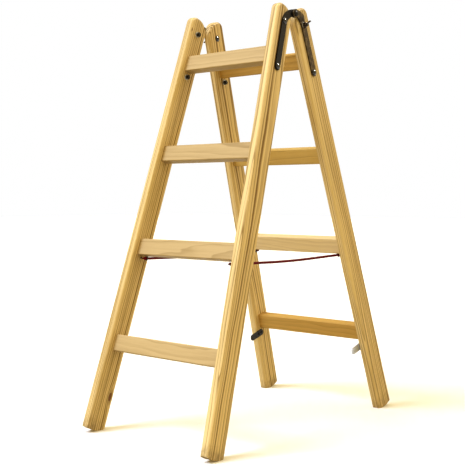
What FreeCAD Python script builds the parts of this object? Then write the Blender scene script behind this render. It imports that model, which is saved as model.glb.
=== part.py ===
import FreeCAD, Part
import os
from math import cos, hypot, radians, sin, sqrt, tan

# Wooden double step ladder, millimetres and degrees, +Z up. The origin is on the floor, midway
# between the four feet. X runs across the ladder, -Y is the front frame's side. The ladder stands
# open, held by the two cords.

# The two frames
OPENING_ANGLE = 34.4
FRAME_TILT = OPENING_ANGLE / 2
STILE_LEAN = 3.0                    # each stile leans outwards towards its foot
HALF_WIDTH_AT_PIVOT = 160.4         # middle of the ladder to the middle of a stile
FOLDED_HALF_GAP = 0.6               # hinge pivot to the back face of a stile
STILE_THICKNESS = 25.0
STILE_DEPTH = 67.0
STILE_EDGE_RADIUS = 6.0
BACK_CROWN_RADIUS = 40.0            # at the stile's top, on the side of the other frame
FRONT_CROWN_RADIUS = 20.0
STILE_ABOVE_PIVOT = 8.5
STILE_BELOW_PIVOT = 1227.0
FOOT_RADIUS = 96.0
FOOT_FLAT_HEIGHT = 1.2              # what wear has taken off the rounded foot
STILE_MIDDLE = FOLDED_HALF_GAP + STILE_DEPTH / 2

# Rungs, the first one at the top
RUNG_COUNT = 4
RUNG_PITCH = 280.0
FIRST_RUNG_BELOW_PIVOT = 136.5
RUNG_HEIGHT = 47.0
RUNG_DEPTH = 28.5
RUNG_EDGE_RADIUS = 3.0
RUNG_HOUSING = 10.0                 # how far a rung is let into each stile

# Hinge straps
STRAP_WIDTH = 20.0
STRAP_THICKNESS = 4.0
NECK_START = 44.0                   # below the pivot: above this the strap curves to its eye
UPRIGHT_START = 28.0                # below the pivot: above this the strap is upright
EYE_RADIUS = 11.5
RIVET_RADIUS = 5.0
RIVET_CLEARANCE = 0.05
PIVOT_WASHER_THICKNESS = 1.5
PIVOT_WASHER_RADIUS = 10.0
EYE_GAP = 0.25
JOGGLE_LOW = 26.0
JOGGLE_HIGH = 12.0
RIVET_HEAD_RADIUS = 8.5
RIVET_HEAD_HEIGHT = 4.5
RIVET_TAIL_RADIUS = 8.0
RIVET_TAIL_HEIGHT = 2.2

# Strap bolts, M8
UPPER_BOLT_BELOW_PIVOT = 39.0
LOWER_BOLT_BELOW_PIVOT = 174.0
BOLT_RADIUS = 4.0
BOLT_HOLE_RADIUS = 4.25
BOLT_HEAD_RADIUS = 9.0
BOLT_HEAD_HEIGHT = 4.8
BOLT_TIP = 3.0                      # bolt standing out past its nut
NUT_ACROSS_FLATS = 13.0
NUT_THICKNESS = 6.5
WASHER_RADIUS = 8.5
WASHER_THICKNESS = 1.6
WING_CLEARANCE = 0.05
WING_HUB_RADIUS = 8.0
WING_HUB_TOP_RADIUS = 5.8
WING_HUB_HEIGHT = 9.0
WING_THICKNESS = 3.0
WING_LOBE_RADIUS = 6.0
WING_LOBE_OFFSET = 12.5
WING_LOBE_HEIGHT = 9.5
WING_ANGLE = 24.0

# Cords and their screw eyes, just below the third rung
EYE_BELOW_PIVOT = 726.6
EYE_DEPTH = 31.0                    # pivot plane to the eye, square to the frame
EYE_STAND_OFF = 24.0                # inner face of the stile to the ring's middle
RING_RADIUS = 5.0
RING_WIRE_RADIUS = 1.2
EYE_THREAD_DEPTH = 16.0
EYE_COLLAR_RADIUS = 3.2
EYE_COLLAR_LENGTH = 3.0
CORD_RADIUS = 3.5
KNOT_RADIUS = 5.2
KNOT_BEYOND_RING = 5.6

# Steel hooks on the rear stiles, just below the lowest rung
HOOK_BELOW_PIVOT = 1016.0
HOOK_WIDTH = 20.0
HOOK_THICKNESS = 4.0
HOOK_ROOT = 27.0                    # reach of the plate over the stile, from the pivot plane
HOOK_NOSE = 36.0                    # reach of the nose past the pivot plane
HOOK_CORNER_RADIUS = 8.0
HOOK_RELIEF = 0.6                   # the nose is this much thinner, to pass the front stile
HOOK_SCREW_DEPTHS = (5.0, 19.0)
HOOK_SCREW_RADIUS = 2.0
HOOK_SCREW_LENGTH = 18.0
HOOK_SCREW_HEAD_RADIUS = 4.5
HOOK_SCREW_HEAD_HEIGHT = 2.4

FOOT_CENTRE_BELOW_PIVOT = STILE_BELOW_PIVOT - FOOT_RADIUS
PIVOT_HEIGHT = (
    FOOT_CENTRE_BELOW_PIVOT * cos(radians(STILE_LEAN)) * cos(radians(FRAME_TILT))
    - STILE_MIDDLE * sin(radians(FRAME_TILT))
    + FOOT_RADIUS * cos(radians(STILE_LEAN))
    - FOOT_FLAT_HEIGHT
)

X_AXIS = FreeCAD.Vector(1, 0, 0)
Y_AXIS = FreeCAD.Vector(0, 1, 0)
ORIGIN = FreeCAD.Vector(0, 0, 0)

# Every piece is first built for the rear right corner of the folded ladder: the pivot is at the
# origin, +X is the ladder's right, +Y is square to the frame and away from the other frame.


def vec(x, y, z):
    return FreeCAD.Vector(x, y, z)


def lean(shape):
    """Turn a piece built about an upright stile at x = 0 to the leaning stile's place."""
    moved = shape.copy()
    moved.rotate(ORIGIN, Y_AXIS, -STILE_LEAN)
    moved.translate(vec(HALF_WIDTH_AT_PIVOT, 0, 0))
    return moved


def stand(shape, end):
    """Open a folded piece to where the standing ladder has it; end is "front" or "rear"."""
    moved = shape.copy()
    if end == "front":
        moved = moved.mirror(ORIGIN, Y_AXIS)
    moved.rotate(ORIGIN, X_AXIS, FRAME_TILT if end == "rear" else -FRAME_TILT)
    moved.translate(vec(0, 0, PIVOT_HEIGHT))
    return moved


def sided(shape, side):
    """A right-hand piece, or its mirror image on the left."""
    return shape.copy() if side == "right" else shape.mirror(ORIGIN, X_AXIS)


def face_of(edges):
    return Part.Face(Part.Wire(edges))


def polygon(points):
    return Part.Face(Part.makePolygon(points + [points[0]]))


def cylinder_x(radius, x_low, x_high, y=0.0, z=0.0):
    return Part.makeCylinder(radius, x_high - x_low, vec(x_low, y, z), X_AXIS)


def domed_head(radius, height, x, y, z, direction):
    """A low dome on a thin rim, its flat side at x, its crown towards direction along X."""
    rim = height * 0.25
    crown = height - rim
    a = vec(0, 0, 0)
    b = vec(0, radius, 0)
    c = vec(rim, radius, 0)
    top = vec(height, 0, 0)
    sphere_radius = (radius * radius + crown * crown) / (2 * crown)
    half = radius / 2
    middle = vec(height - sphere_radius + sqrt(sphere_radius**2 - half**2), half, 0)
    profile = face_of([
        Part.LineSegment(a, b).toShape(),
        Part.LineSegment(b, c).toShape(),
        Part.Arc(c, middle, top).toShape(),
        Part.LineSegment(top, a).toShape(),
    ])
    head = profile.revolve(ORIGIN, X_AXIS, 360)
    if direction < 0:
        head = head.mirror(ORIGIN, X_AXIS)
    head.translate(vec(x, y, z))
    return head


def rounded_bar(length_from, length_to, depth, height, y, z, radius):
    """A bar along X with its long edges rounded."""
    bar = Part.makeBox(
        length_to - length_from, depth, height,
        vec(length_from, y - depth / 2, z - height / 2),
    )
    along = [edge for edge in bar.Edges if abs(edge.tangentAt(edge.FirstParameter).x) > 0.99]
    return bar.makeFillet(radius, along)


def nut(x_low, x_high, y, z, bore):
    corner = NUT_ACROSS_FLATS / 2 / cos(radians(30))
    points = []
    for step in range(6):
        angle = radians(60 * step)
        points.append(vec(x_low, y + corner * cos(angle), z + corner * sin(angle)))
    blank = polygon(points).extrude(vec(x_high - x_low, 0, 0))
    return blank.cut(cylinder_x(bore, x_low - 1, x_high + 1, y, z))


def washer(radius, bore, x_low, x_high, y, z):
    disc = cylinder_x(radius, x_low, x_high, y, z)
    return disc.cut(cylinder_x(bore, x_low - 1, x_high + 1, y, z))


# --- wood ---

def stile_side_outline():
    """The stile seen from the side: uneven crown at the top, straight faces, rounded foot."""
    back = FOLDED_HALF_GAP
    front = back + STILE_DEPTH
    top = STILE_ABOVE_PIVOT
    short_of_corner = 1 - sin(radians(45))
    back_slack = BACK_CROWN_RADIUS * short_of_corner
    front_slack = FRONT_CROWN_RADIUS * short_of_corner
    foot_rise = FOOT_RADIUS - sqrt(FOOT_RADIUS**2 - (STILE_DEPTH / 2)**2)
    bottom = -STILE_BELOW_PIVOT
    back_shoulder = vec(0, back, top - BACK_CROWN_RADIUS)
    back_crown = vec(0, back + BACK_CROWN_RADIUS, top)
    front_crown = vec(0, front - FRONT_CROWN_RADIUS, top)
    front_shoulder = vec(0, front, top - FRONT_CROWN_RADIUS)
    front_heel = vec(0, front, bottom + foot_rise)
    back_heel = vec(0, back, bottom + foot_rise)
    return face_of([
        Part.Arc(back_shoulder, vec(0, back + back_slack, top - back_slack), back_crown).toShape(),
        Part.LineSegment(back_crown, front_crown).toShape(),
        Part.Arc(front_crown, vec(0, front - front_slack, top - front_slack), front_shoulder).toShape(),
        Part.LineSegment(front_shoulder, front_heel).toShape(),
        Part.Arc(front_heel, vec(0, STILE_MIDDLE, bottom), back_heel).toShape(),
        Part.LineSegment(back_heel, back_shoulder).toShape(),
    ])


def stile_blank():
    outline = stile_side_outline()
    outline.translate(vec(-STILE_THICKNESS / 2, 0, 0))
    blank = outline.extrude(vec(STILE_THICKNESS, 0, 0))
    heel_level = -STILE_BELOW_PIVOT + FOOT_RADIUS / 4
    rims = []
    for edge in blank.Edges:
        on_side = abs(abs(edge.CenterOfMass.x) - STILE_THICKNESS / 2) < 0.01
        if on_side and edge.BoundBox.ZMax > heel_level:
            rims.append(edge)
    return blank.makeFillet(STILE_EDGE_RADIUS, rims)


def rung_level(number):
    return -(FIRST_RUNG_BELOW_PIVOT + (number - 1) * RUNG_PITCH)


def rung(number):
    level = rung_level(number)
    inner_face = HALF_WIDTH_AT_PIVOT - level * tan(radians(STILE_LEAN)) - STILE_THICKNESS / 2
    reach = inner_face + RUNG_HOUSING
    return rounded_bar(-reach, reach, RUNG_DEPTH, RUNG_HEIGHT, STILE_MIDDLE, level, RUNG_EDGE_RADIUS)


def bolt_levels():
    return (-UPPER_BOLT_BELOW_PIVOT, -LOWER_BOLT_BELOW_PIVOT)


def stile(rungs, end):
    """The rear or front right stile, housed for the rungs, bored for its bolts and screws."""
    shape = stile_blank()
    half = STILE_THICKNESS / 2
    for level in bolt_levels():
        shape = shape.cut(cylinder_x(BOLT_HOLE_RADIUS, -half - 1, half + 1, STILE_MIDDLE, level))
    shape = shape.cut(
        cylinder_x(RING_WIRE_RADIUS, -half - 1, EYE_THREAD_DEPTH - half, EYE_DEPTH, -EYE_BELOW_PIVOT)
    )
    if end == "rear":
        for depth in HOOK_SCREW_DEPTHS:
            shape = shape.cut(cylinder_x(
                HOOK_SCREW_RADIUS, -half - 1, HOOK_SCREW_LENGTH - HOOK_THICKNESS - half,
                depth, -HOOK_BELOW_PIVOT,
            ))
    shape = lean(shape)
    for piece in rungs:
        shape = shape.cut(piece)
    return shape


def level_foot(shape):
    """The worn flat that each foot rests on, level with the floor."""
    below = Part.makeBox(2000, 2000, 100, vec(-1000, -1000, -100))
    return shape.cut(below)


# --- hinge straps ---

def outer_face_x(below):
    """X of the leaning stile's outer face, at a depth below the pivot."""
    lean_angle = radians(STILE_LEAN)
    half = STILE_THICKNESS / 2
    return HALF_WIDTH_AT_PIVOT + half / cos(lean_angle) + below * tan(lean_angle)


FRONT_EYE_X = outer_face_x(UPRIGHT_START)
PIVOT_WASHER_X = FRONT_EYE_X + STRAP_THICKNESS
REAR_EYE_X = PIVOT_WASHER_X + PIVOT_WASHER_THICKNESS + EYE_GAP
RIVET_HEAD_X = REAR_EYE_X + STRAP_THICKNESS + EYE_GAP


def offset_corners(points, distance):
    """The corners of a bent strip's outer side, mitred, from those of its inner side (X, Z)."""
    normals = []
    for (x0, z0), (x1, z1) in zip(points, points[1:]):
        length = hypot(x1 - x0, z1 - z0)
        normals.append(((z1 - z0) / length, -(x1 - x0) / length))
    normals = [normals[0]] + normals + [normals[-1]]
    corners = []
    for (x, z), (ax, az), (bx, bz) in zip(points, normals, normals[1:]):
        scale = distance / (1 + ax * bx + az * bz)
        corners.append((x + (ax + bx) * scale, z + (az + bz) * scale))
    return corners


def strap_strip(inner_corners):
    """A wide strip of strap steel, bent as the strap is when seen from the front."""
    outer_corners = offset_corners(inner_corners, STRAP_THICKNESS)
    points = [vec(x, -60, z) for x, z in inner_corners + outer_corners[::-1]]
    return polygon(points).extrude(vec(0, 160, 0))


def strap_outline():
    """The strap seen from the side: straight shank, curved neck and round eye, as a thick plate."""
    x_low = FRONT_EYE_X - 20
    thick = 60
    half = STRAP_WIDTH / 2
    shank = Part.makeBox(
        thick, STRAP_WIDTH, LOWER_BOLT_BELOW_PIVOT - NECK_START,
        vec(x_low, STILE_MIDDLE - half, -LOWER_BOLT_BELOW_PIVOT),
    )
    shank_end = cylinder_x(half, x_low, x_low + thick, STILE_MIDDLE, -LOWER_BOLT_BELOW_PIVOT)
    bend = (NECK_START**2 + STILE_MIDDLE**2) / (2 * STILE_MIDDLE)
    bend_y = STILE_MIDDLE - bend
    bend_z = -NECK_START
    ring = cylinder_x(bend + half, x_low, x_low + thick, bend_y, bend_z)
    ring = ring.cut(cylinder_x(bend - half, x_low, x_low + thick, bend_y, bend_z))
    above_bend = Part.makeBox(thick, 4 * bend, 2 * bend, vec(x_low, 0, bend_z))
    neck = ring.common(above_bend)
    eye = cylinder_x(EYE_RADIUS, x_low, x_low + thick)
    return shank.fuse([shank_end, neck, eye]).removeSplitter()


def strap(end):
    shank_low = LOWER_BOLT_BELOW_PIVOT + STRAP_WIDTH
    if end == "front":
        corners = [
            (outer_face_x(shank_low), -shank_low),
            (FRONT_EYE_X, -UPRIGHT_START),
            (FRONT_EYE_X, 2 * EYE_RADIUS),
        ]
        eye_hole = RIVET_RADIUS
    else:
        corners = [
            (outer_face_x(shank_low), -shank_low),
            (outer_face_x(JOGGLE_LOW), -JOGGLE_LOW),
            (REAR_EYE_X, -JOGGLE_HIGH),
            (REAR_EYE_X, 2 * EYE_RADIUS),
        ]
        eye_hole = RIVET_RADIUS + RIVET_CLEARANCE
    shape = strap_outline().common(strap_strip(corners))
    shape = shape.cut(cylinder_x(eye_hole, 0, 300))
    half = STILE_THICKNESS / 2
    for level in bolt_levels():
        hole = cylinder_x(BOLT_HOLE_RADIUS, half - 5, half + 20, STILE_MIDDLE, level)
        shape = shape.cut(lean(hole))
    return shape.removeSplitter()


def pivot_rivet():
    shank = cylinder_x(RIVET_RADIUS, FRONT_EYE_X, RIVET_HEAD_X)
    head = domed_head(RIVET_HEAD_RADIUS, RIVET_HEAD_HEIGHT, RIVET_HEAD_X, 0, 0, 1)
    tail = domed_head(RIVET_TAIL_RADIUS, RIVET_TAIL_HEIGHT, FRONT_EYE_X, 0, 0, -1)
    return shank.fuse([head, tail]).removeSplitter()


def pivot_washer():
    return washer(
        PIVOT_WASHER_RADIUS, RIVET_RADIUS + RIVET_CLEARANCE,
        PIVOT_WASHER_X, PIVOT_WASHER_X + PIVOT_WASHER_THICKNESS, 0, 0,
    )


# --- bolts, nuts and washers, built about an upright stile ---

STILE_HALF = STILE_THICKNESS / 2
STRAP_FACE = STILE_HALF + STRAP_THICKNESS


def strap_bolt(level):
    """Head on the strap, tip inside the ladder."""
    tip = -STILE_HALF - WASHER_THICKNESS - NUT_THICKNESS - BOLT_TIP
    shank = cylinder_x(BOLT_RADIUS, tip, STRAP_FACE, STILE_MIDDLE, level)
    head = domed_head(BOLT_HEAD_RADIUS, BOLT_HEAD_HEIGHT, STRAP_FACE, STILE_MIDDLE, level, 1)
    return lean(shank.fuse(head).removeSplitter())


def bolt_washer(level):
    return lean(washer(
        WASHER_RADIUS, BOLT_HOLE_RADIUS, -STILE_HALF - WASHER_THICKNESS, -STILE_HALF,
        STILE_MIDDLE, level,
    ))


def bolt_nut(level):
    x_high = -STILE_HALF - WASHER_THICKNESS
    return lean(nut(x_high - NUT_THICKNESS, x_high, STILE_MIDDLE, level, BOLT_RADIUS))


WING_NUT_X = STRAP_FACE + WASHER_THICKNESS
WING_LEVEL = -UPPER_BOLT_BELOW_PIVOT


def wing_bolt():
    """Head inside the ladder, tip through the strap and the wing nut."""
    tip = WING_NUT_X + WING_HUB_HEIGHT + BOLT_TIP
    shank = cylinder_x(BOLT_RADIUS, -STILE_HALF, tip, STILE_MIDDLE, WING_LEVEL)
    head = domed_head(BOLT_HEAD_RADIUS, BOLT_HEAD_HEIGHT, -STILE_HALF, STILE_MIDDLE, WING_LEVEL, -1)
    return lean(shank.fuse(head).removeSplitter())


def wing_washer():
    return lean(washer(
        WASHER_RADIUS, BOLT_HOLE_RADIUS, STRAP_FACE, WING_NUT_X, STILE_MIDDLE, WING_LEVEL,
    ))


def wing_nut():
    """A tapered hub with two round-tipped wings, turned about its bolt."""
    hub = Part.makeCone(WING_HUB_RADIUS, WING_HUB_TOP_RADIUS, WING_HUB_HEIGHT, ORIGIN, X_AXIS)
    pieces = []
    for way in (-1, 1):
        lobe = Part.makeCylinder(
            WING_LOBE_RADIUS, WING_THICKNESS,
            vec(WING_LOBE_HEIGHT, way * WING_LOBE_OFFSET, -WING_THICKNESS / 2), vec(0, 0, 1),
        )
        foot_low = WING_HUB_HEIGHT * 0.25
        root = WING_HUB_TOP_RADIUS * 0.75
        web = polygon([
            vec(foot_low, way * root, -WING_THICKNESS / 2),
            vec(WING_LOBE_HEIGHT - WING_LOBE_RADIUS, way * WING_LOBE_OFFSET, -WING_THICKNESS / 2),
            vec(WING_LOBE_HEIGHT, way * WING_LOBE_OFFSET, -WING_THICKNESS / 2),
            vec(WING_HUB_HEIGHT * 0.95, way * root, -WING_THICKNESS / 2),
        ]).extrude(vec(0, 0, WING_THICKNESS))
        pieces += [lobe, web]
    shape = hub.fuse(pieces).removeSplitter()
    shape = shape.cut(cylinder_x(BOLT_RADIUS + WING_CLEARANCE, -1, WING_HUB_HEIGHT + 1))
    shape.rotate(ORIGIN, X_AXIS, WING_ANGLE)
    shape.translate(vec(WING_NUT_X, STILE_MIDDLE, WING_LEVEL))
    return lean(shape)


# --- cords ---

RING_X = -STILE_HALF - EYE_STAND_OFF


def cord_eye():
    """A screw eye in the stile's inner face, its ring square to the frame."""
    centre = vec(RING_X, EYE_DEPTH, -EYE_BELOW_PIVOT)
    ring = Part.makeTorus(RING_RADIUS, RING_WIRE_RADIUS, centre, Y_AXIS)
    shank = cylinder_x(
        RING_WIRE_RADIUS, RING_X + RING_RADIUS, EYE_THREAD_DEPTH - STILE_HALF,
        EYE_DEPTH, -EYE_BELOW_PIVOT,
    )
    collar = cylinder_x(
        EYE_COLLAR_RADIUS, -STILE_HALF - EYE_COLLAR_LENGTH, -STILE_HALF, EYE_DEPTH, -EYE_BELOW_PIVOT,
    )
    return lean(ring.fuse([shank, collar]).removeSplitter())


def ring_centre(end, side):
    """Where the middle of a screw eye's ring is on the standing ladder."""
    point = Part.Vertex(vec(RING_X, EYE_DEPTH, -EYE_BELOW_PIVOT))
    return sided(stand(lean(point), end), side).Point


def knot(end, side):
    """A stopper knot beyond the screw eye, flat where the cord enters it."""
    centre = ring_centre(end, side)
    outward = 1 if end == "rear" else -1
    centre.y += outward * KNOT_BEYOND_RING
    ball = Part.makeSphere(KNOT_RADIUS, centre)
    flat = sqrt(KNOT_RADIUS**2 - CORD_RADIUS**2)
    block = Part.makeBox(60, 60, 60, centre - vec(30, 30, 30))
    block.translate(vec(0, -outward * (30 + flat), 0))
    return ball.cut(block)


def cord(side):
    """One taut, straight run from knot to knot, through both screw eyes."""
    front = ring_centre("front", side)
    rear = ring_centre("rear", side)
    past_ring = KNOT_BEYOND_RING - sqrt(KNOT_RADIUS**2 - CORD_RADIUS**2)
    length = rear.y - front.y + 2 * past_ring
    start = vec(front.x, front.y - past_ring, front.z)
    print("cord", side, "one straight run of", round(length, 1), "mm, no bends")
    return Part.makeCylinder(CORD_RADIUS, length, start, Y_AXIS)


# --- hooks ---

def hook():
    """A flat round-cornered latch bar screwed to the inner face, its nose past the stile's edge."""
    plate_x = -STILE_HALF - HOOK_THICKNESS
    bar = Part.makeBox(
        HOOK_THICKNESS, HOOK_NOSE + HOOK_ROOT, HOOK_WIDTH,
        vec(plate_x, -HOOK_NOSE, -HOOK_BELOW_PIVOT - HOOK_WIDTH / 2),
    )
    corners = [edge for edge in bar.Edges if abs(edge.tangentAt(edge.FirstParameter).x) > 0.99]
    plate = bar.makeFillet(HOOK_CORNER_RADIUS, corners)
    relief = Part.makeBox(10, 100, 100, vec(-STILE_HALF - HOOK_RELIEF, -100, -HOOK_BELOW_PIVOT - 50))
    plate = plate.cut(relief)
    for depth in HOOK_SCREW_DEPTHS:
        plate = plate.cut(cylinder_x(
            HOOK_SCREW_RADIUS, plate_x - 1, -STILE_HALF + 1, depth, -HOOK_BELOW_PIVOT,
        ))
    return lean(plate)


def hook_screw(depth):
    plate_x = -STILE_HALF - HOOK_THICKNESS
    shank = cylinder_x(
        HOOK_SCREW_RADIUS, plate_x, plate_x + HOOK_SCREW_LENGTH, depth, -HOOK_BELOW_PIVOT,
    )
    head = domed_head(
        HOOK_SCREW_HEAD_RADIUS, HOOK_SCREW_HEAD_HEIGHT, plate_x, depth, -HOOK_BELOW_PIVOT, -1,
    )
    return lean(shank.fuse(head).removeSplitter())


# --- assembly ---

SIDES = ("left", "right")
nodes = {}


def both_sides(shape):
    """Identical fasteners, one set on each side, as separate solids of one node."""
    return Part.makeCompound([sided(shape, side) for side in SIDES])


rungs = [rung(number) for number in range(1, RUNG_COUNT + 1)]
straps = {end: strap(end) for end in ("front", "rear")}

for end in ("front", "rear"):
    right_stile = stile(rungs, end)
    for side in SIDES:
        nodes[f"{end}_{side}_stile"] = sided(level_foot(stand(right_stile, end)), side)
        nodes[f"{end}_{side}_strap"] = sided(stand(straps[end], end), side)
    for number, piece in enumerate(rungs, start=1):
        nodes[f"{end}_rung_{number}"] = stand(piece, end)
    nodes[f"{end}_cord_eyes"] = both_sides(stand(cord_eye(), end))
    nodes[f"{end}_cord_knots"] = Part.makeCompound([knot(end, side) for side in SIDES])

upper, lower = bolt_levels()
front_levels = (upper, lower)
rear_levels = (lower,)
for end, levels in (("front", front_levels), ("rear", rear_levels)):
    for name, make in (("bolts", strap_bolt), ("washers", bolt_washer), ("nuts", bolt_nut)):
        sets = [both_sides(stand(make(level), end)) for level in levels]
        nodes[f"{end}_strap_{name}"] = Part.makeCompound([s for group in sets for s in group.Solids])

nodes["wing_bolts"] = both_sides(stand(wing_bolt(), "rear"))
nodes["wing_washers"] = both_sides(stand(wing_washer(), "rear"))
screws = [stand(hook_screw(depth), "rear") for depth in HOOK_SCREW_DEPTHS]
nodes["hook_screws"] = Part.makeCompound([sided(s, side) for s in screws for side in SIDES])

pivot_pieces = {"pivot_rivet": pivot_rivet(), "pivot_washer": pivot_washer()}
for side in SIDES:
    for name, piece in pivot_pieces.items():
        nodes[f"{name}_{side}"] = sided(stand(piece, "front"), side)
    nodes[f"wing_nut_{side}"] = sided(stand(wing_nut(), "rear"), side)
    nodes[f"hook_{side}"] = sided(stand(hook(), "rear"), side)
    nodes[f"cord_{side}"] = cord(side)

os.makedirs("parts", exist_ok=True)
for name, shape in nodes.items():
    shape.exportStep(f"parts/{name}.step")
    print(name, len(shape.Solids), "solids, valid", shape.isValid(), "volume", round(shape.Volume))
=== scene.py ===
import math

import bmesh
import bpy
from mathutils import Matrix, Vector


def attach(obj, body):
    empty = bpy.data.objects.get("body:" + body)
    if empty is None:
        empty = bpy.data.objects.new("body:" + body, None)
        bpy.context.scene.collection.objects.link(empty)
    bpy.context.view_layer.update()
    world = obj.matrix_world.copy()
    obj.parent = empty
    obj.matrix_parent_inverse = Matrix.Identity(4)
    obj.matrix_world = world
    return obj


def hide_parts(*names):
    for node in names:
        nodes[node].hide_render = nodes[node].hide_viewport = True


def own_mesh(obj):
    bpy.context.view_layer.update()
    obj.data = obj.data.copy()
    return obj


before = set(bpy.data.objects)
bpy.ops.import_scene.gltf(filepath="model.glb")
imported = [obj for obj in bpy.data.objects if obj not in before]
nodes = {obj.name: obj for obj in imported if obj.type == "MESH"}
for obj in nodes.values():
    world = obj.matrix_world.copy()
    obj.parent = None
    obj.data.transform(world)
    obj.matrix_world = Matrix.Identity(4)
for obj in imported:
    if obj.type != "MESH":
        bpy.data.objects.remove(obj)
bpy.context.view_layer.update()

# Wooden double step ladder. Metres and degrees, +Z up, the front frame on the -Y side.

# The ladder's own measures, as in the CAD source
TILT = 17.2
LEAN = 3.0
HALF_WIDTH_AT_PIVOT = 0.1604
STILE_MIDDLE = 0.0341
STILE_THICKNESS = 0.025
PIVOT_HEIGHT = 1.163524
RUNG_PITCH = 0.280
FIRST_RUNG_BELOW_PIVOT = 0.1365
STRAP_THICKNESS = 0.004
WASHER_THICKNESS = 0.0016
UPPER_BOLT_BELOW_PIVOT = 0.039
EYE_BELOW_PIVOT = 0.7266
EYE_DEPTH = 0.031
EYE_STAND_OFF = 0.024
HOOK_BELOW_PIVOT = 1.016
HOOK_THICKNESS = 0.004
HOOK_SCREW_DEPTHS = (0.005, 0.019)
WING_ANGLE = 24.0

SIDES = ("left", "right")
ENDS = ("front", "rear")


# --- camera ---

CAMERA_AT = (1.7333, -2.0537, 0.660)
CAMERA_YAW = 40.97       # from the +Y axis towards -X
CAMERA_PITCH = 2.37      # downwards
CAMERA_LENS = 70.9
SENSOR_WIDTH = 36.0


def make_camera():
    """A camera off the ladder's right front corner, at about half the ladder's height."""
    data = bpy.data.cameras.new("camera")
    data.sensor_width = SENSOR_WIDTH
    data.lens = CAMERA_LENS
    data.clip_end = 30.0
    camera = bpy.data.objects.new("camera", data)
    bpy.context.scene.collection.objects.link(camera)
    yaw, pitch = math.radians(CAMERA_YAW), math.radians(CAMERA_PITCH)
    ahead = Vector((
        -math.sin(yaw) * math.cos(pitch), math.cos(yaw) * math.cos(pitch), -math.sin(pitch),
    ))
    camera.location = CAMERA_AT
    camera.rotation_euler = ahead.to_track_quat("-Z", "Y").to_euler()
    bpy.context.scene.camera = camera


make_camera()


# --- places ---

def corner_matrix(end, side):
    """From the folded rear right corner's upright stile to the standing ladder's own corner."""
    mirror_x = Matrix.Diagonal((-1 if side == "left" else 1, 1, 1, 1))
    mirror_y = Matrix.Diagonal((1, -1 if end == "front" else 1, 1, 1))
    tilt = math.radians(TILT if end == "rear" else -TILT)
    return (
        mirror_x
        @ Matrix.Translation((0, 0, PIVOT_HEIGHT))
        @ Matrix.Rotation(tilt, 4, "X")
        @ mirror_y
        @ Matrix.Translation((HALF_WIDTH_AT_PIVOT, 0, 0))
        @ Matrix.Rotation(math.radians(-LEAN), 4, "Y")
    )


# --- node helpers ---

class Tree:
    """A short way to write a material's node tree."""

    def __init__(self, name):
        self.material = bpy.data.materials.new(name)
        self.material.use_nodes = True
        self.tree = self.material.node_tree
        self.shader = self.tree.nodes["Principled BSDF"]

    def node(self, kind, **settings):
        made = self.tree.nodes.new(kind)
        for key, value in settings.items():
            setattr(made, key, value)
        return made

    def put(self, socket, value):
        if isinstance(value, bpy.types.NodeSocket):
            self.tree.links.new(value, socket)
        else:
            socket.default_value = value

    def math(self, operation, a, b=0.0, c=0.0, clamp=False):
        made = self.node("ShaderNodeMath", operation=operation, use_clamp=clamp)
        for socket, value in zip(made.inputs, (a, b, c)):
            self.put(socket, value)
        return made.outputs[0]

    def vector(self, operation, a, b=(0, 0, 0)):
        made = self.node("ShaderNodeVectorMath", operation=operation)
        self.put(made.inputs[0], a)
        self.put(made.inputs[1], b)
        return made.outputs["Value" if operation == "LENGTH" else "Vector"]

    def noise(self, vector, scale=1.0, detail=2.0, roughness=0.5, dimensions="3D"):
        made = self.node("ShaderNodeTexNoise", noise_dimensions=dimensions)
        if dimensions == "1D":
            self.put(made.inputs["W"], vector)
        else:
            self.put(made.inputs["Vector"], vector)
        self.put(made.inputs["Scale"], scale)
        self.put(made.inputs["Detail"], detail)
        self.put(made.inputs["Roughness"], roughness)
        return made.outputs["Fac"]

    def range(self, value, low, high, to_low=0.0, to_high=1.0):
        made = self.node("ShaderNodeMapRange", interpolation_type="SMOOTHSTEP")
        for socket, v in zip(made.inputs, (value, low, high, to_low, to_high)):
            self.put(socket, v)
        return made.outputs[0]

    def ramp(self, value, stops):
        made = self.node("ShaderNodeValToRGB")
        elements = made.color_ramp.elements
        while len(elements) < len(stops):
            elements.new(0.5)
        for element, (position, colour) in zip(elements, stops):
            element.position = position
            element.color = (*colour, 1.0)
        self.put(made.inputs[0], value)
        return made.outputs[0]

    def mix(self, factor, a, b):
        made = self.node("ShaderNodeMix", data_type="RGBA")
        self.put(made.inputs[0], factor)
        self.put(made.inputs[6], a if isinstance(a, bpy.types.NodeSocket) else (*a, 1.0))
        self.put(made.inputs[7], b if isinstance(b, bpy.types.NodeSocket) else (*b, 1.0))
        return made.outputs[2]

    def bump(self, height, strength, distance):
        made = self.node("ShaderNodeBump")
        self.put(made.inputs["Strength"], strength)
        self.put(made.inputs["Distance"], distance)
        self.put(made.inputs["Height"], height)
        return made.outputs["Normal"]

    def local(self, origin, axes):
        """Coordinates along three axes at right angles, from a point on the object."""
        coordinates = self.node("ShaderNodeTexCoord").outputs["Object"]
        turn = Matrix([axes[0], axes[1], axes[2]]).transposed()
        if turn.determinant() < 0:
            turn = turn @ Matrix.Diagonal((-1, 1, 1))
        mapping = self.node("ShaderNodeMapping", vector_type="TEXTURE")
        self.put(mapping.inputs["Location"], tuple(origin))
        self.put(mapping.inputs["Rotation"], tuple(turn.to_euler()))
        self.put(mapping.inputs["Vector"], coordinates)
        return mapping.outputs["Vector"]


def grey(value):
    """A neutral colour for a ramp's stop."""
    return (value, value, value)


def assign(piece, material):
    """Give a piece one material all over."""
    piece.data.materials.clear()
    piece.data.materials.append(material)
    for polygon in piece.data.polygons:
        polygon.material_index = 0


# --- mesh helpers ---

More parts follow.
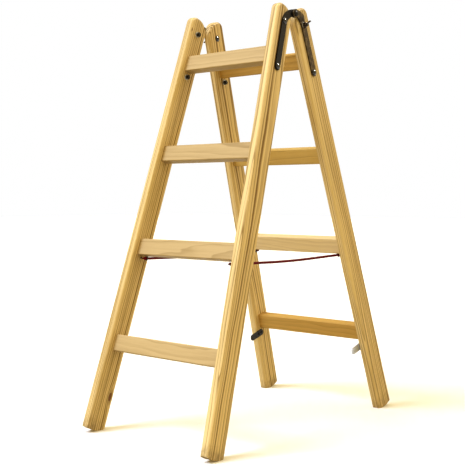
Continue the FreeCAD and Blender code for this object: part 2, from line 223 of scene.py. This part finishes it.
def link_mesh(name, verts, faces):
    """A smooth-shaded object in the scene."""
    data = bpy.data.meshes.new(name)
    data.from_pydata([tuple(v) for v in verts], [], faces)
    data.update()
    for polygon in data.polygons:
        polygon.use_smooth = True
    made = bpy.data.objects.new(name, data)
    bpy.context.scene.collection.objects.link(made)
    return made


def spread_evenly(line, step):
    """Points along a line, about one step apart, its two ends kept."""
    lengths = [0.0]
    for a, b in zip(line, line[1:]):
        lengths.append(lengths[-1] + (b - a).length)
    count = max(2, round(lengths[-1] / step))
    points, i = [], 0
    for k in range(count + 1):
        want = lengths[-1] * k / count
        while i < len(line) - 2 and lengths[i + 1] < want:
            i += 1
        span = lengths[i + 1] - lengths[i]
        points.append(line[i].lerp(line[i + 1], (want - lengths[i]) / span if span else 0.0))
    return points


def nurbs_line(name, route):
    """The smooth line of a NURBS spline with the route's points as its control points."""
    curve = bpy.data.curves.new(name, "CURVE")
    curve.dimensions = "3D"
    curve.resolution_u = 96
    spline = curve.splines.new("NURBS")
    spline.points.add(len(route) - 1)
    for point, where in zip(spline.points, route):
        point.co = (*where, 1.0)
    spline.order_u = 3
    spline.use_endpoint_u = True
    holder = bpy.data.objects.new(name, curve)
    mesh = bpy.data.meshes.new_from_object(holder)
    line = [vertex.co.copy() for vertex in mesh.vertices]
    bpy.data.meshes.remove(mesh)
    bpy.data.objects.remove(holder)
    bpy.data.curves.remove(curve)
    return line


PLAITS = 6               # strands going each way round the cord
PLAIT_LENGTH = 0.0040    # along the cord, one strand's crossing
PLAIT_RELIEF = 0.00042


def plait_height(around, along):
    """Height, 0 to 1, of a plain braid's surface; around is in turns, along in metres."""
    best = 0.0
    for way in (1, -1):
        across = around * PLAITS + way * along / PLAIT_LENGTH
        down = around * PLAITS - way * along / PLAIT_LENGTH
        strand = math.floor(across)
        off = 2 * (across - strand) - 1
        over = 0.5 + 0.5 * math.cos(math.pi * (down + strand + (0 if way == 1 else 1)))
        best = max(best, math.sqrt(max(0.0, 1 - off * off)) * (0.35 + 0.65 * over))
    return best


def tube(name, line, radius, sides, closed=False, braided=False):
    """A round wire or cord along a line, as one closed skin. A braid has an attribute "height"."""
    count = len(line)
    tangents = []
    for i in range(count):
        if closed:
            tangents.append((line[(i + 1) % count] - line[i - 1]).normalized())
        else:
            tangents.append((line[min(i + 1, count - 1)] - line[max(i - 1, 0)]).normalized())
    normal = tangents[0].orthogonal().normalized()
    verts, heights = [], []
    along = 0.0
    for i in range(count):
        if i:
            along += (line[i] - line[i - 1]).length
        normal = (normal - tangents[i] * normal.dot(tangents[i])).normalized()
        side = tangents[i].cross(normal)
        for k in range(sides):
            turn = k / sides
            height = plait_height(turn, along) if braided else 1.0
            reach = radius - PLAIT_RELIEF * (1 - height)
            angle = 2 * math.pi * turn
            verts.append(line[i] + (normal * math.cos(angle) + side * math.sin(angle)) * reach)
            heights.append(height)
    faces = []
    for i in range(count if closed else count - 1):
        j = (i + 1) % count
        for k in range(sides):
            m = (k + 1) % sides
            faces.append((i * sides + k, i * sides + m, j * sides + m, j * sides + k))
    if not closed:
        faces.append(tuple(range(sides))[::-1])
        faces.append(tuple((count - 1) * sides + k for k in range(sides)))
    made = link_mesh(name, verts, faces)
    if braided:
        attribute = made.data.attributes.new("height", "FLOAT", "POINT")
        attribute.data.foreach_set("value", heights)
    return made


# --- cords ---

CORD_RADIUS = 0.0035
CORD_X = 0.1620
CORD_END_Y = 0.2465
CORD_Z = 0.4777
CORD_STEP = 0.0008       # between the rings of a cord's skin
KNOT_Y = 0.2503
KNOT_LIFT = 0.0010       # a knot's middle above the cord's end
KNOT_CORD_RADIUS = 0.0025
TAIL_RADIUS = 0.0024
# The route of the right-hand cord: pulled nearly straight, with a slight sag
CORD_ROUTE = (
    (CORD_X, -CORD_END_Y, CORD_Z),
    (CORD_X, -0.2045, 0.4768),
    (CORD_X, 0.0, 0.4715),
    (CORD_X, 0.2045, 0.4768),
    (CORD_X, CORD_END_Y, CORD_Z),
)


def rope_material():
    """A red braid: painted shade darkens it between the strands, lighter threads on top, faded here and
    there.
    """
    t = Tree("red_braid")
    height = t.node("ShaderNodeAttribute", attribute_name="height").outputs["Fac"]
    at = t.node("ShaderNodeTexCoord").outputs["Object"]
    threads = t.noise(t.vector("MULTIPLY", at, (2600.0, 900.0, 2600.0)), detail=2.0, roughness=0.7)
    faded = t.noise(at, scale=14.0, detail=3.0)
    # Painted shade: the braid is coloured darker where its surface lies low between the strands, for the
    # shade that falls there.
    shaded_grooves = t.mix(t.range(height, 0.30, 0.95), (0.020, 0.0004, 0.001), (0.17, 0.0008, 0.003))
    lit = t.mix(t.range(threads, 0.35, 0.75, 0.0, 0.55), shaded_grooves, (0.32, 0.0015, 0.006))
    colour = t.mix(t.range(faded, 0.45, 0.80, 0.0, 0.30), lit, (0.26, 0.004, 0.008))
    t.put(t.shader.inputs["Base Color"], colour)
    t.put(t.shader.inputs["Roughness"], t.range(threads, 0.2, 0.8, 0.75, 0.50))
    t.put(t.shader.inputs["Normal"], t.bump(threads, 0.5, 0.00015))
    t.shader.inputs["Specular IOR Level"].default_value = 0.12
    return t.material


def overhand_knot(name, centre, mirrored):
    """A tight overhand knot of the same cord, its axis along the cord."""
    steps = 108
    size, swell = 0.00105, 0.0026
    line = []
    for step in range(steps):
        a = 2 * math.pi * step / steps
        x = (math.sin(a) + 2 * math.sin(2 * a)) * size
        z = (math.cos(a) - 2 * math.cos(2 * a)) * size * 0.8
        line.append(centre + Vector((x * mirrored, -math.sin(3 * a) * swell, z)))
    return tube(name, line, KNOT_CORD_RADIUS, 20, closed=True, braided=True)


def knot_tail(name, centre, outward, flip):
    """The short cut end of the cord standing out of its knot."""
    route = [
        centre + Vector((0, outward * 0.002, 0)),
        centre + Vector((0, outward * 0.005, 0.0004)),
        centre + Vector((flip * 0.0005, outward * 0.0075, 0.0002)),
        centre + Vector((flip * 0.0005, outward * 0.0095, -0.0012)),
    ]
    line = spread_evenly(nurbs_line(f"{name}_route", route), CORD_STEP)
    return tube(name, line, TAIL_RADIUS, 24, braided=True)


def make_cords():
    """Both cords with their knots and tails; each cord rides the front frame and folds up with it."""
    red = rope_material()
    for side in SIDES:
        flip = -1 if side == "left" else 1
        route = [Vector((x * flip, y, z)) for x, y, z in CORD_ROUTE]
        line = spread_evenly(nurbs_line(f"route_{side}", route), CORD_STEP)
        piece = tube(f"braided_cord_{side}", line, CORD_RADIUS, 36, braided=True)
        assign(piece, red)
        knots = []
        for end in ENDS:
            outward = -1 if end == "front" else 1
            centre = Vector((CORD_X * flip, KNOT_Y * outward, CORD_Z + KNOT_LIFT))
            knot = overhand_knot(f"knot_{end}_{side}", centre, flip)
            tail = knot_tail(f"knot_tail_{end}_{side}", centre, outward, flip)
            for part in (knot, tail):
                assign(part, red)
                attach(part, f"{end}_frame")
            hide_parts(f"{end}_cord_knots")
            knots += [knot, tail]
        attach(piece, "front_frame")
        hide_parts(f"cord_{side}")
        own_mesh(piece)


make_cords()


# --- wood ---

# How far the year rings sway slowly, and wave more finely, from true circles
RING_SWAY = 0.036
RING_WAVE = 0.0065
# Weights of what darkens the wood
RING_WEIGHT = 0.95
STREAK_WEIGHT = 1.05
FIBRE_WEIGHT = 0.42
CLOUD_WEIGHT = 0.40
CANAL_WEIGHT = 0.28
KNOT_EDGE = (0.38, 0.185, 0.055)
KNOT_HEART = (0.150, 0.060, 0.018)
DIRT = (0.20, 0.13, 0.065)
DIRT_HEIGHT = 0.045      # up from the foot


def pine(name, origin, axes, pith, spacing, seed, light, dark, contrast, knots=(), foot=None):
    """Planed pine, cut from a trunk whose pith runs along the third axis at pith = (first, second).
    spacing is the width of a year's ring. A knot is (first-axis tilt, second, third, radius)."""
    t = Tree(name)
    at = t.local(origin, axes)

    # Distance from the pith, swaying slowly along the trunk and waving a little
    drift = t.vector("ADD", at, (seed * 3.17, seed * 1.31, seed * 7.77))
    slow = t.vector("MULTIPLY", drift, (7.0, 7.0, 1.1))
    wave = t.vector("MULTIPLY", drift, (26.0, 26.0, 5.5))
    from_pith = t.vector("MULTIPLY", t.vector("SUBTRACT", at, (pith[0], pith[1], 0)), (1, 1, 0))
    radius = t.vector("LENGTH", from_pith)
    sway = t.math("SUBTRACT", t.noise(slow, detail=1.0), 0.5)
    radius = t.math("MULTIPLY_ADD", sway, RING_SWAY, radius)
    waving = t.math("SUBTRACT", t.noise(wave, detail=2.0), 0.5)
    radius = t.math("MULTIPLY_ADD", waving, RING_WAVE, radius)

    # Knots push the rings aside; core is the distance from the nearest, its edge at 1
    split = t.node("ShaderNodeSeparateXYZ")
    t.put(split.inputs[0], at)
    core = None
    for slant, across, along, size in knots:
        middle = t.math("MULTIPLY_ADD", split.outputs[0], slant, across)
        side = t.math("SUBTRACT", split.outputs[1], middle)
        up = t.math("MULTIPLY", t.math("SUBTRACT", split.outputs[2], along), 0.40)
        reach = t.math("SQRT", t.math("ADD", t.math("MULTIPLY", side, side), t.math("MULTIPLY", up, up)))
        ratio = t.math("DIVIDE", reach, size)
        pull = t.math("EXPONENT", t.math("MULTIPLY", t.math("MULTIPLY", ratio, ratio), -0.16))
        radius = t.math("MULTIPLY_ADD", pull, size * 1.5, radius)
        core = ratio if core is None else t.math("MINIMUM", core, ratio)

    # Rings: pale spring wood darkening to a sharp edge, some years stronger than others
    phase = t.math("DIVIDE", radius, spacing)
    uneven = t.noise(phase, scale=0.9, detail=1.0, dimensions="1D")
    phase = t.math("ADD", phase, t.math("MULTIPLY", uneven, 1.3))
    ring = t.ramp(t.math("FRACT", phase), (
        (0.0, grey(0.0)), (0.34, grey(0.10)), (0.66, grey(0.42)),
        (0.86, grey(0.92)), (0.93, grey(1.0)), (1.0, grey(0.0)),
    ))
    year = t.noise(t.math("FLOOR", phase), scale=1.7, detail=0.0, dimensions="1D")
    ring = t.math("MULTIPLY", ring, t.range(year, 0.3, 0.7, 0.45, 1.0))

    # Streaks, fibres, resin canals and broad clouding, all drawn out along the grain
    streaks = t.noise(t.vector("MULTIPLY", drift, (70.0, 70.0, 1.6)), detail=3.0, roughness=0.6)
    fibre = t.noise(t.vector("MULTIPLY", drift, (900.0, 900.0, 22.0)), detail=3.0, roughness=0.65)
    canals = t.noise(t.vector("MULTIPLY", drift, (1300.0, 1300.0, 55.0)), detail=1.0)
    canals = t.range(canals, 0.70, 0.80)
    cloud = t.noise(t.vector("MULTIPLY", drift, (5.0, 5.0, 2.0)), detail=2.0)

    shade = t.math("MULTIPLY", ring, RING_WEIGHT * contrast)
    shade = t.math("MULTIPLY_ADD", t.math("SUBTRACT", streaks, 0.5), STREAK_WEIGHT * contrast, shade)
    shade = t.math("MULTIPLY_ADD", t.math("SUBTRACT", fibre, 0.5), FIBRE_WEIGHT, shade)
    shade = t.math("MULTIPLY_ADD", t.math("SUBTRACT", cloud, 0.5), CLOUD_WEIGHT, shade)
    shade = t.math("MULTIPLY_ADD", canals, CANAL_WEIGHT, shade, clamp=True)
    colour = t.mix(shade, light, dark)
    rough = t.range(shade, 0.0, 1.0, 0.52, 0.40)
    height = t.math("MULTIPLY_ADD", ring, 0.25, t.math("MULTIPLY", fibre, 0.8))

    if core is not None:
        rim = t.ramp(core, (
            (0.0, grey(0.80)), (0.55, grey(0.62)), (0.80, grey(0.95)),
            (0.95, grey(1.0)), (1.0, grey(0.0)),
        ))
        rings_in_knot = t.noise(t.math("MULTIPLY", core, 9.0), scale=1.0, detail=1.0, dimensions="1D")
        knot_shade = t.math("MULTIPLY", rim, t.range(rings_in_knot, 0.2, 0.8, 0.75, 1.05))
        inside = t.range(core, 0.92, 1.04, 1.0, 0.0)
        halo = t.math("MULTIPLY", t.range(core, 1.0, 2.4, 1.0, 0.0), 0.45)
        colour = t.mix(halo, colour, tuple(c * 0.82 for c in dark))
        knot_colour = t.mix(knot_shade, KNOT_EDGE, KNOT_HEART)
        colour = t.mix(inside, colour, knot_colour)
        rough = t.math("MULTIPLY_ADD", inside, -0.12, rough)

    if foot is not None:
        scuff = t.noise(t.vector("MULTIPLY", drift, (60.0, 60.0, 40.0)), detail=4.0, roughness=0.7)
        near = t.range(split.outputs[2], foot, foot + DIRT_HEIGHT, 1.0, 0.0)
        dirt = t.math("MULTIPLY", near, t.range(scuff, 0.35, 0.75, 0.10, 0.75))
        colour = t.mix(dirt, colour, DIRT)
        rough = t.math("MULTIPLY_ADD", dirt, 0.2, rough)

    t.put(t.shader.inputs["Base Color"], colour)
    t.put(t.shader.inputs["Roughness"], rough)
    t.put(t.shader.inputs["Normal"], t.bump(height, 0.35, 0.0004))
    t.shader.inputs["Specular IOR Level"].default_value = 0.35
    return t.material


STILE_LIGHT = (0.82, 0.665, 0.365)
STILE_DARK = (0.27, 0.160, 0.034)
FRONT_RUNG = ((0.58, 0.455, 0.255), (0.32, 0.220, 0.088))
# Painted shade: the rear frame's rungs are coloured darker and yellower than the front ones, for the
# shade on their downward-facing sides.
SHADED_REAR_RUNG = ((0.58, 0.385, 0.115), (0.30, 0.175, 0.032))
# The rear frame's rungs that are coloured paler than the rest: rung 2 as paler wood, rung 3 with painted
# light, for the light that falls on it
PALER_AND_LIT_RUNGS = {
    2: ((0.68, 0.500, 0.185), (0.40, 0.260, 0.070)),
    3: ((0.80, 0.665, 0.420), (0.54, 0.405, 0.200)),
}
FOOT_LEVEL = -1.225      # the stile's lower end, from the pivot
STILE_CONTRAST = 1.2
RUNG_CONTRAST = 0.62
RUNG_RING_WIDTH = 0.0052

FOOT_KNOT = (0.4, 0.018, -1.129, 0.0050)
TOP_KNOT = (0.0, 0.060, -0.034, 0.0016)
# For each stile: its pith across the thickness and the depth, the ring width, the knots
STILE_WOOD = {
    ("front", "right"): ((0.048, -0.016), 0.0068, ()),
    ("front", "left"): ((-0.044, 0.080), 0.0062, (FOOT_KNOT, TOP_KNOT)),
    ("rear", "right"): ((0.052, -0.014), 0.0070, ()),
    ("rear", "left"): ((-0.050, 0.082), 0.0066, ()),
}


def rung_tones(end, number):
    """The light and the dark colour of one rung's wood; the rear rungs' colours carry painted shade, and
    rear rung 3's painted light.
    """
    if end == "front":
        return FRONT_RUNG
    return PALER_AND_LIT_RUNGS.get(number, SHADED_REAR_RUNG)


def finish_wood():
    """Cut every stile and rung from its own trunk."""
    seed = 1
    for (end, side), (pith, spacing, knots) in STILE_WOOD.items():
        place_of = corner_matrix(end, side)
        axes = [place_of.to_3x3().col[i].copy() for i in range(3)]
        wood = pine(
            f"pine_{end}_{side}_stile", place_of.translation, axes, pith, spacing, seed,
            STILE_LIGHT, STILE_DARK, STILE_CONTRAST, knots, FOOT_LEVEL,
        )
        assign(nodes[f"{end}_{side}_stile"], wood)
        seed += 1
    for end in ENDS:
        place_of = corner_matrix(end, "right")
        tilt = math.radians(TILT if end == "rear" else -TILT)
        turn = Matrix.Rotation(tilt, 3, "X")
        out = turn @ Vector((0, 1 if end == "rear" else -1, 0))
        up = turn @ Vector((0, 0, 1))
        for number in range(1, 5):
            below = FIRST_RUNG_BELOW_PIVOT + (number - 1) * RUNG_PITCH
            middle = Vector((0, 0, PIVOT_HEIGHT)) + out * STILE_MIDDLE - up * below
            pith = (0.10 + 0.02 * (seed % 3), 0.045 * (-1) ** seed)
            wood = pine(
                f"pine_{end}_rung_{number}", middle, [out, up, Vector((1, 0, 0))], pith,
                RUNG_RING_WIDTH, seed, *rung_tones(end, number), RUNG_CONTRAST,
            )
            assign(nodes[f"{end}_rung_{number}"], wood)
            seed += 1


finish_wood()


# --- steel ---

PATCH_SCALE = 91.0
SKIN_SCALE = 1560.0


def steel(name, colour, worn, roughness, wear=0.3, metallic=1.0, lacquer=0.0):
    """Coated or plated steel with a fine uneven skin and rubbed patches."""
    t = Tree(name)
    at = t.node("ShaderNodeTexCoord").outputs["Object"]
    patches = t.noise(at, scale=PATCH_SCALE, detail=5.0, roughness=0.65)
    skin = t.noise(at, scale=SKIN_SCALE, detail=3.0, roughness=0.6)
    rubbed = t.range(patches, 0.62 - 0.25 * wear, 0.86 - 0.25 * wear)
    t.put(t.shader.inputs["Base Color"], t.mix(rubbed, colour, worn))
    t.put(t.shader.inputs["Roughness"], t.math(
        "ADD", t.math("MULTIPLY", t.math("SUBTRACT", skin, 0.5), 0.22),
        t.range(patches, 0.2, 0.8, roughness + 0.08, roughness - 0.10), clamp=True,
    ))
    t.put(t.shader.inputs["Normal"], t.bump(t.math("MULTIPLY_ADD", patches, 0.6, skin), 0.30, 0.0002))
    t.shader.inputs["Metallic"].default_value = metallic
    t.shader.inputs["Coat Weight"].default_value = lacquer
    t.shader.inputs["Coat Roughness"].default_value = 0.12
    return t.material


black_steel = steel(
    "black_steel", (0.010, 0.0065, 0.0035), (0.055, 0.040, 0.022), 0.42, wear=0.4, metallic=0.5,
)
rubbed_steel = steel(
    "rubbed_steel", (0.060, 0.040, 0.017), (0.190, 0.140, 0.075), 0.42, wear=0.7, metallic=0.5,
)
black_glossy = steel(
    "black_glossy", (0.010, 0.008, 0.007), (0.04, 0.034, 0.028), 0.24,
    wear=0.2, metallic=0.3, lacquer=1.0,
)
zinc = steel("zinc_plate", (0.62, 0.67, 0.80), (0.42, 0.45, 0.54), 0.40, wear=0.4, metallic=0.45)
bright_zinc = steel(
    "bright_zinc", (0.86, 0.90, 0.98), (0.60, 0.62, 0.68), 0.25, metallic=0.35,
)
dark_zinc = steel("dark_zinc", (0.13, 0.115, 0.10), (0.26, 0.24, 0.21), 0.28, wear=0.4)
cast_steel = steel(
    "cast_steel", (0.060, 0.042, 0.034), (0.24, 0.20, 0.17), 0.30, wear=0.5, lacquer=0.6,
)
black_plate = steel("black_plate", (0.022, 0.018, 0.016), (0.07, 0.06, 0.052), 0.30, metallic=0.5)

# By a part of the node's name
FINISHES = {
    "front_left_strap": black_steel,
    "front_right_strap": black_steel,
    "rear_left_strap": rubbed_steel,
    "rear_right_strap": rubbed_steel,
    "bolts": black_glossy,
    "nuts": black_glossy,
    "washers": bright_zinc,
    "rivet": black_steel,
    "pivot_washer": black_steel,
    "hook_left": black_plate,
    "hook_right": zinc,
}
for node_name, node_object in nodes.items():
    for part_of_name, finish_of in FINISHES.items():
        if part_of_name in node_name:
            assign(node_object, finish_of)


# --- screw eyes, hook screws and wing nuts ---

STILE_HALF = STILE_THICKNESS / 2
EYE_RING_RADIUS = 0.0050
EYE_WIRE_RADIUS = 0.0012
EYE_WIRE_STEP = 0.0005
EYE_SHANK_IN_WOOD = 0.004
SWELL_START = 0.0005     # from the wood
SWELL_LENGTH = 0.0040
SWELL_GROWTH = 1.1       # share of the wire's radius
SCREW_HEAD_RADIUS = 0.0045
SCREW_HEAD_RISE = 0.0024
SCREW_RIM_SHARE = 0.35   # height of the head's rim, share of its rise
RECESS_REACH = 0.0026
RECESS_HALF_WIDTH = 0.0007
RECESS_DEPTH = 0.0013
RECESS_POINT = 0.0034    # where the recess would run out to nothing
WING_TIP_AT = (0.0100, 0.0128)
WING_TIP_RADIUS = 0.0056
WING_BORE = 0.0042
WING_VOXEL = 0.00035

def settle(piece, place_of, body, node, material):
    """Stand a piece built in the folded corner's coordinates where it belongs."""
    piece.data.transform(place_of)
    if place_of.determinant() < 0:
        piece.data.flip_normals()
    assign(piece, material)
    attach(piece, body)
    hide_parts(node)


def screw_eye(name):
    """A wire ring on a shank, its end not quite closed, with a swelling at the wood."""
    centre = Vector((-STILE_HALF - EYE_STAND_OFF, EYE_DEPTH, -EYE_BELOW_PIVOT))
    shank_start = -STILE_HALF + EYE_SHANK_IN_WOOD
    shank_end = centre.x + EYE_RING_RADIUS + EYE_WIRE_RADIUS
    line = []
    for step in range(25):
        x = shank_start + (shank_end - shank_start) * step / 24
        line.append(Vector((x, EYE_DEPTH, -EYE_BELOW_PIVOT)))
    # The ring starts a little way from the shank and stops short of it
    for step in range(3, 61):
        angle = 2 * math.pi * step / 64
        line.append(centre + Vector((math.cos(angle), 0, math.sin(angle))) * EYE_RING_RADIUS)
    line = spread_evenly(nurbs_line(f"{name}_route", line), EYE_WIRE_STEP)
    made = tube(name, line, EYE_WIRE_RADIUS, 20)
    for vertex in made.data.vertices:
        wood_gap = -STILE_HALF - vertex.co.x
        taper = min(1.0, max(0.0, (wood_gap - SWELL_START) / SWELL_LENGTH))
        swell = 1 + SWELL_GROWTH * (1 - taper**2)
        vertex.co.y = EYE_DEPTH + (vertex.co.y - EYE_DEPTH) * swell
        vertex.co.z = -EYE_BELOW_PIVOT + (vertex.co.z + EYE_BELOW_PIVOT) * swell
    return made


def cross_head(name, depth):
    """A round screw head with a cross recess, its flat side on the hook."""
    rings, sides = 26, 96
    face_x = -STILE_HALF - HOOK_THICKNESS
    middle = Vector((face_x, depth, -HOOK_BELOW_PIVOT))
    verts = [middle]
    faces = []
    for ring in range(1, rings + 1):
        share = ring / rings
        for k in range(sides):
            angle = 2 * math.pi * k / sides
            u = math.cos(angle) * share * SCREW_HEAD_RADIUS
            v = math.sin(angle) * share * SCREW_HEAD_RADIUS
            verts.append(middle + Vector((0, u, v)))
    for k in range(sides):
        faces.append((0, 1 + k, 1 + (k + 1) % sides))
    for ring in range(rings - 1):
        for k in range(sides):
            m = (k + 1) % sides
            low, high = 1 + ring * sides, 1 + (ring + 1) * sides
            faces.append((low + k, high + k, high + m, low + m))
    turn = 0.5 + 40 * depth    # a hook's two heads end at different angles
    for i, vertex in enumerate(verts):
        u, v = vertex.y - middle.y, vertex.z - middle.z
        share = min(1.0, math.hypot(u, v) / SCREW_HEAD_RADIUS)
        bulge = math.sqrt(max(0.0, 1 - share**3))
        dome = SCREW_HEAD_RISE * (SCREW_RIM_SHARE + (1 - SCREW_RIM_SHARE) * bulge)
        a = u * math.cos(turn) + v * math.sin(turn)
        b = v * math.cos(turn) - u * math.sin(turn)
        arm = max(abs(a), abs(b))
        beside = min(abs(a), abs(b))
        if arm < RECESS_REACH and beside < RECESS_HALF_WIDTH:
            dome -= RECESS_DEPTH * (1 - arm / RECESS_POINT)
        vertex.x -= dome
    rim = len(verts)
    for k in range(sides):
        edge = verts[1 + (rings - 1) * sides + k]
        verts.append(Vector((face_x + 0.0002, edge.y, edge.z)))
    for k in range(sides):
        m = (k + 1) % sides
        top = 1 + (rings - 1) * sides
        faces.append((top + k, rim + k, rim + m, top + m))
    faces.append(tuple(rim + k for k in range(sides)))
    made = link_mesh(name, verts, faces)
    made.data.flip_normals()
    return made


def revolved(profile, sides):
    """A closed skin from a closed profile of (x, radius) points turned about the X axis."""
    verts, faces = [], []
    count = len(profile)
    for k in range(sides):
        angle = 2 * math.pi * k / sides
        for x, radius in profile:
            verts.append(Vector((x, radius * math.cos(angle), radius * math.sin(angle))))
    for k in range(sides):
        m = (k + 1) % sides
        for i in range(count):
            j = (i + 1) % count
            faces.append((k * count + i, m * count + i, m * count + j, k * count + j))
    return verts, faces


def wing_outline():
    """Half a wing nut's wing seen flat, as (x, y) points round its edge."""
    tip_x, tip_y = WING_TIP_AT
    points = [(0.0012, 0.0048), (0.0016, 0.0064), (0.0034, 0.0088)]
    for step in range(19):
        angle = math.radians(-90 + 240 * step / 18)
        points.append((
            tip_x - WING_TIP_RADIUS * math.cos(angle), tip_y + WING_TIP_RADIUS * math.sin(angle),
        ))
    points += [(0.0096, 0.0072), (0.0084, 0.0046)]
    return points


def wing_nut_mesh(name):
    """A cast wing nut about the X axis: a tapered hub blending into two round-tipped wings."""
    # Height and radius, from the seat round the outside to the top
    hub = [
        (0, WING_BORE), (0, 0.0078), (0.0008, 0.0082), (0.0040, 0.0074),
        (0.0080, 0.0062), (0.0090, 0.0052), (0.0092, WING_BORE),
    ]
    verts, faces = revolved(hub, 64)
    outline = wing_outline()
    count = len(outline)
    middle_y = sum(y for _, y in outline) / count
    middle_x = sum(x for x, _ in outline) / count
    for way in (1, -1):
        # Height and share of the outline, drawn in at both faces
        layers = ((-0.0016, 0.86), (-0.0011, 0.97), (0.0011, 0.97), (0.0016, 0.86))
        start = len(verts)
        for z, scale in layers:
            for x, y in outline:
                verts.append(Vector((
                    middle_x + (x - middle_x) * scale,
                    way * (middle_y + (y - middle_y) * scale),
                    z,
                )))
        for layer in range(len(layers) - 1):
            for i in range(count):
                j = (i + 1) % count
                low, high = start + layer * count, start + (layer + 1) * count
                faces.append((low + i, low + j, high + j, high + i))
        faces.append(tuple(start + i for i in range(count))[::-1])
        faces.append(tuple(start + (len(layers) - 1) * count + i for i in range(count)))
    raw = link_mesh(f"{name}_raw", verts, faces)
    skin = raw.modifiers.new("skin", "REMESH")
    skin.mode = "VOXEL"
    skin.voxel_size = WING_VOXEL
    skin.use_smooth_shade = True
    soften = raw.modifiers.new("soften", "SMOOTH")
    soften.factor = 0.5
    soften.iterations = 6
    graph = bpy.context.evaluated_depsgraph_get()
    graph.update()
    data = bpy.data.meshes.new_from_object(raw.evaluated_get(graph))
    data.name = name
    made = bpy.data.objects.new(name, data)
    bpy.context.scene.collection.objects.link(made)
    bpy.data.objects.remove(raw)
    return made


def make_fittings():
    """Screw eyes, hook screws and wing nuts, in place of the plain CAD ones."""
    hook_screw_finish = {"left": black_plate, "right": zinc}
    for side in SIDES:
        for end in ENDS:
            eye = screw_eye(f"screw_eye_{end}_{side}")
            settle(
                eye, corner_matrix(end, side),
                f"{end}_frame", f"{end}_cord_eyes", dark_zinc,
            )
        for number, depth in enumerate(HOOK_SCREW_DEPTHS, start=1):
            head = cross_head(f"hook_screw_{side}_{number}", depth)
            settle(
                head, corner_matrix("rear", side),
                "rear_frame", "hook_screws", hook_screw_finish[side],
            )
        wing = wing_nut_mesh(f"cast_wing_nut_{side}")
        on_strap = STILE_HALF + STRAP_THICKNESS + WASHER_THICKNESS
        seat = Matrix.Translation((on_strap, STILE_MIDDLE, -UPPER_BOLT_BELOW_PIVOT))
        turned = Matrix.Rotation(math.radians(WING_ANGLE), 4, "X")
        settle(
            wing, corner_matrix("rear", side) @ seat @ turned,
            f"wing_nut_{side}", f"wing_nut_{side}", cast_steel,
        )


make_fittings()


# --- floor and light ---

SURROUND_ABOVE = (1.20, 1.00, 0.58)
SURROUND_BELOW = (0.56, 0.44, 0.22)
FLOOR_WHITE = (0.90, 0.92, 0.98)
FLOOR_HALF_SIZE = 20.0
VIEW_GAMMA = 0.80


def make_floor():
    """A white floor that throws no colour back on the ladder."""
    mesh = bmesh.new()
    bmesh.ops.create_grid(mesh, x_segments=1, y_segments=1, size=FLOOR_HALF_SIZE)
    data = bpy.data.meshes.new("floor")
    mesh.to_mesh(data)
    mesh.free()
    floor = bpy.data.objects.new("floor", data)
    bpy.context.scene.collection.objects.link(floor)
    t = Tree("floor")
    t.shader.inputs["Base Color"].default_value = (*FLOOR_WHITE, 1.0)
    t.shader.inputs["Roughness"].default_value = 0.9
    t.shader.inputs["Specular IOR Level"].default_value = 0.1
    assign(floor, t.material)
    floor.visible_diffuse = False


def sun_light(name, toward, strength, spread, colour=(1, 1, 1), on_matt=True):
    """A lamp far off, shining toward a direction; on_matt is off for one that only glossy faces show."""
    data = bpy.data.lights.new(name, "SUN")
    data.energy = strength
    data.angle = math.radians(spread)
    data.color = colour
    light = bpy.data.objects.new(name, data)
    bpy.context.scene.collection.objects.link(light)
    light.rotation_euler = Vector(toward).to_track_quat("-Z", "Y").to_euler()
    light.visible_diffuse = on_matt


def make_light():
    """A big soft lamp over the front left, a warm surround, dimmer below, and a white background.
    The second lamp, behind on the right, only shows as a glint on what is glossy."""
    world = bpy.data.worlds.new("studio")
    bpy.context.scene.world = world
    world.use_nodes = True
    tree = world.node_tree
    links = tree.links
    around = tree.nodes["Background"]
    around.inputs["Strength"].default_value = 1.0
    direction = tree.nodes.new("ShaderNodeTexCoord")
    split = tree.nodes.new("ShaderNodeSeparateXYZ")
    ramp = tree.nodes.new("ShaderNodeValToRGB")
    height = tree.nodes.new("ShaderNodeMapRange")
    height.inputs["From Min"].default_value = -0.35
    height.inputs["From Max"].default_value = 0.35
    ramp.color_ramp.elements[0].color = (*SURROUND_BELOW, 1.0)
    ramp.color_ramp.elements[1].color = (*SURROUND_ABOVE, 1.0)
    links.new(direction.outputs["Generated"], split.inputs[0])
    links.new(split.outputs[2], height.inputs["Value"])
    links.new(height.outputs[0], ramp.inputs[0])
    links.new(ramp.outputs[0], around.inputs["Color"])
    white = tree.nodes.new("ShaderNodeBackground")
    white.inputs["Color"].default_value = (1.0, 1.0, 1.0, 1.0)
    seen = tree.nodes.new("ShaderNodeLightPath")
    either = tree.nodes.new("ShaderNodeMixShader")
    links.new(seen.outputs["Is Camera Ray"], either.inputs[0])
    links.new(around.outputs[0], either.inputs[1])
    links.new(white.outputs[0], either.inputs[2])
    links.new(either.outputs[0], tree.nodes["World Output"].inputs["Surface"])
    sun_light("key", toward=(0.45, 0.85, -1.05), strength=2.70, spread=30, colour=(0.66, 0.78, 1.06))
    sun_light("glint", toward=(-0.574, -0.462, -0.608), strength=5.0, spread=8, on_matt=False)
    bpy.context.scene.view_settings.view_transform = "Standard"
    bpy.context.scene.view_settings.gamma = VIEW_GAMMA


make_floor()
make_light()
